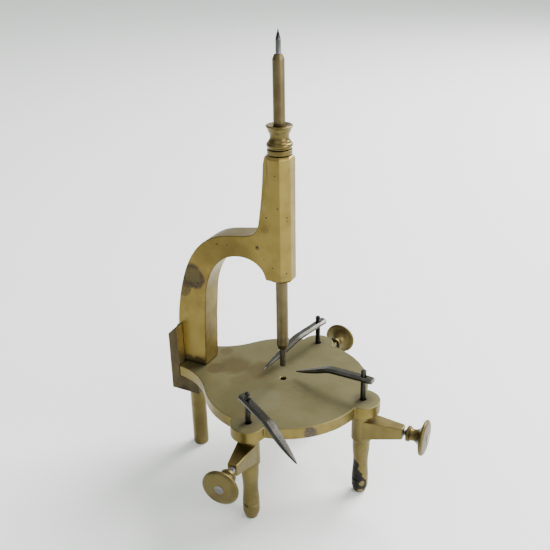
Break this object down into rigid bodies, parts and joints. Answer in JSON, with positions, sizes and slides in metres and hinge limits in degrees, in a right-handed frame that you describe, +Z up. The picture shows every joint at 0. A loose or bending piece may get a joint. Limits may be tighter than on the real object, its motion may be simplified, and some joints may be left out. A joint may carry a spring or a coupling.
{
  "type": "uprighting tool",
  "caption": "Bench tool for setting upright: round brass table on legs, C-shaped arm with a sliding centred spindle and collet nut, and steel hold-down dogs with thumb screws.",
  "frame": {"origin": "centre of the overall box in plan, on the surface that the legs stand on", "axes": "+X from the heel and its column towards the spindle, +Z up along the spindle, +Y to the left of +X"},
  "size_m": [0.1266, 0.1344, 0.2073],
  "materials": {
    "table_brass": "matte aged brass, olive grey",
    "arm_brass": "satin aged brass with dark pits and stains",
    "leg_brass": "satin aged brass",
    "knob_brass": "satin aged brass with pale edges",
    "turned_brass": "turned brass, worn bright on its rims",
    "rod_brass": "drawn brass, tan brown",
    "dark_brass": "dark brown patina",
    "steel": "dark steel with bright worn edges"
  },
  "bodies": {
    "base": {"table_plate": "table_brass", "arm": "arm_brass", "heel_bracket": "dark_brass", "heel_leg": "leg_brass", "steady_screw": "steel", "wall_screw_lower": "steel", "wall_screw_upper": "steel", "collet_sleeve": "turned_brass", "leg_front": "leg_brass", "leg_right": "leg_brass", "leg_back": "leg_brass"},
    "spindle": {"spindle_rod": "rod_brass", "spindle_point": "steel", "spindle_nib": "steel"},
    "collar_ring": {"collar_ring": "turned_brass"},
    "collar_nut": {"collar_nut": "turned_brass"},
    "dog_post_front": {"dog_post_front": "steel"},
    "dog_finger_front": {"dog_finger_front": "steel"},
    "clamp_screw_front": {"clamp_screw_front": "steel"},
    "clamp_knob_front": {"clamp_knob_front": "knob_brass"},
    "dog_post_right": {"dog_post_right": "steel"},
    "dog_finger_right": {"dog_finger_right": "steel"},
    "clamp_screw_right": {"clamp_screw_right": "steel"},
    "clamp_knob_right": {"clamp_knob_right": "knob_brass"},
    "dog_post_back": {"dog_post_back": "steel"},
    "dog_finger_back": {"dog_finger_back": "steel"},
    "clamp_screw_back": {"clamp_screw_back": "steel"},
    "clamp_knob_back": {"clamp_knob_back": "knob_brass"}
  },
  "joints": [
    {"name": "spindle_slide", "type": "slide", "parent": "base", "child": "spindle", "axis": [0, 0, 1], "range_m": [-0.009, 0.028]},
    {"name": "collar_lift", "type": "slide", "parent": "base", "child": "collar_ring", "axis": [0, 0, 1], "range_m": [0, 0.0007]},
    {"name": "collar_turn", "type": "hinge", "parent": "collar_ring", "child": "collar_nut", "pos_m": [-0.00662, 0.00043, 0.1654], "axis": [0, 0, 1], "range_deg": [0, 360]},
    {"name": "dog_lift_front", "type": "slide", "parent": "base", "child": "dog_post_front", "axis": [0, 0, 1], "range_m": [-0.0024, 0.01]},
    {"name": "dog_swing_front", "type": "hinge", "parent": "dog_post_front", "child": "dog_finger_front", "pos_m": [-0.00517, -0.03647, 0.0624], "axis": [0, 0, 1], "range_deg": [-89, 76]},
    {"name": "screw_travel_front", "type": "slide", "parent": "base", "child": "clamp_screw_front", "axis": [0.0872, -0.9962, 0], "range_m": [0, 0.0021]},
    {"name": "knob_turn_front", "type": "hinge", "parent": "clamp_screw_front", "child": "clamp_knob_front", "pos_m": [-0.00291, -0.06237, 0.0395], "axis": [0.0872, -0.9962, 0], "range_deg": [0, 1080]},
    {"name": "dog_lift_right", "type": "slide", "parent": "base", "child": "dog_post_right", "axis": [0, 0, 1], "range_m": [-0.0024, 0.01]},
    {"name": "dog_swing_right", "type": "hinge", "parent": "dog_post_right", "child": "dog_finger_right", "pos_m": [0.03272, 0.00043, 0.0624], "axis": [0, 0, 1], "range_deg": [-90, 4]},
    {"name": "screw_travel_right", "type": "slide", "parent": "base", "child": "clamp_screw_right", "axis": [1, 0, 0], "range_m": [0, 0.0021]},
    {"name": "knob_turn_right", "type": "hinge", "parent": "clamp_screw_right", "child": "clamp_knob_right", "pos_m": [0.05872, 0.00043, 0.0395], "axis": [1, 0, 0], "range_deg": [0, 1080]},
    {"name": "dog_lift_back", "type": "slide", "parent": "base", "child": "dog_post_back", "axis": [0, 0, 1], "range_m": [-0.0024, 0.01]},
    {"name": "dog_swing_back", "type": "hinge", "parent": "dog_post_back", "child": "dog_finger_back", "pos_m": [-0.00517, 0.03733, 0.0624], "axis": [0, 0, 1], "range_deg": [-84, 6]},
    {"name": "screw_travel_back", "type": "slide", "parent": "base", "child": "clamp_screw_back", "axis": [0.0349, 0.9994, 0], "range_m": [0, 0.0021]},
    {"name": "knob_turn_back", "type": "hinge", "parent": "clamp_screw_back", "child": "clamp_knob_back", "pos_m": [-0.00427, 0.06332, 0.0395], "axis": [0.0349, 0.9994, 0], "range_deg": [0, 1080]}
  ],
  "couplings": [
    {"joint": "collar_lift", "follows": "collar_turn", "m_per_rad": 0.00011141},
    {"joint": "screw_travel_front", "follows": "knob_turn_front", "m_per_rad": 0.00011141},
    {"joint": "screw_travel_right", "follows": "knob_turn_right", "m_per_rad": 0.00011141},
    {"joint": "screw_travel_back", "follows": "knob_turn_back", "m_per_rad": 0.00011141}
  ]
}
